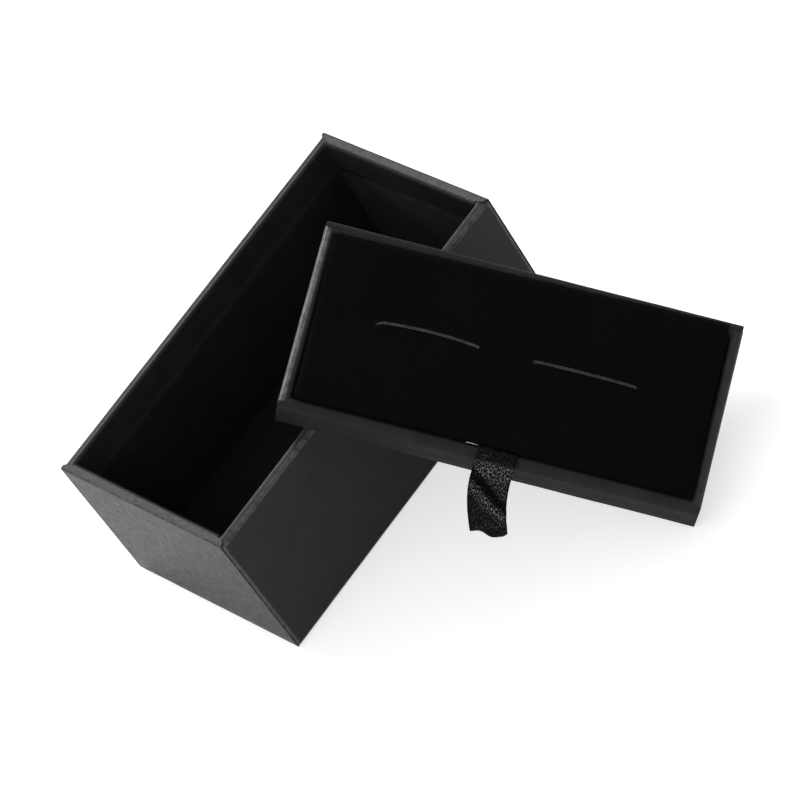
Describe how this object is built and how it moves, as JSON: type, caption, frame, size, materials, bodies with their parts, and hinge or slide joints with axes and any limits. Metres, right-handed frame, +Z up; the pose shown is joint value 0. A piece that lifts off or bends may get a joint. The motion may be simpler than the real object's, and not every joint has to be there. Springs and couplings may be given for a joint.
{
  "type": "cufflink box with drawer",
  "caption": "Rigid leatherette-wrapped case, flock-lined and open on top, with its shallow velvet-padded drawer lifted out by a ribbon pull and leaning on the rim.",
  "frame": {"origin": "centre of the case's underside, on the surface it stands on", "axes": "+Z up out of the case's mouth; +Y along the case; +X out over the rim that the drawer leans on"},
  "size_m": [0.1066, 0.0897, 0.054],
  "materials": {
    "leatherette": "fine grained satin",
    "greyboard": "matt",
    "white_board": "matt",
    "stay_paper": "matt",
    "sheet_paper": "matt",
    "flock": "flocked",
    "velvet": "velvet pile",
    "foam": "open-cell foam",
    "satin": "satin weave"
  },
  "bodies": {
    "case": {"case_base_board": "greyboard", "case_wall_left": "greyboard", "case_wall_right": "greyboard", "case_wall_near": "greyboard", "case_wall_far": "greyboard", "case_corner_stays": "stay_paper", "case_wrap": "leatherette", "case_bottom_sheet": "sheet_paper", "liner_floor": "flock", "liner_wall_left": "flock", "liner_wall_right": "flock", "liner_wall_near": "flock", "liner_wall_far": "flock"},
    "drawer": {"drawer_base_board": "greyboard", "drawer_wall_left": "greyboard", "drawer_wall_right": "greyboard", "drawer_wall_back": "greyboard", "drawer_wall_front": "white_board", "drawer_corner_stays": "stay_paper", "drawer_wrap": "leatherette", "drawer_bottom_sheet": "sheet_paper", "pad_backing_card": "greyboard", "pad_foam": "foam", "pad_velvet_cover": "velvet", "ribbon_tail": "satin"},
    "ribbon": {"ribbon_loop": "satin"}
  },
  "joints": [
    {"name": "drawer_lift", "type": "slide", "parent": "case", "child": "drawer", "axis": [0, 0, 1], "range_m": [0, 0.06]},
    {"name": "ribbon_swing", "type": "hinge", "parent": "drawer", "child": "ribbon", "pos_m": [0.05462, -0.00085, 0.02729], "axis": [-0.7894, -0.3673, 0.4918], "range_deg": [0, 110]}
  ]
}
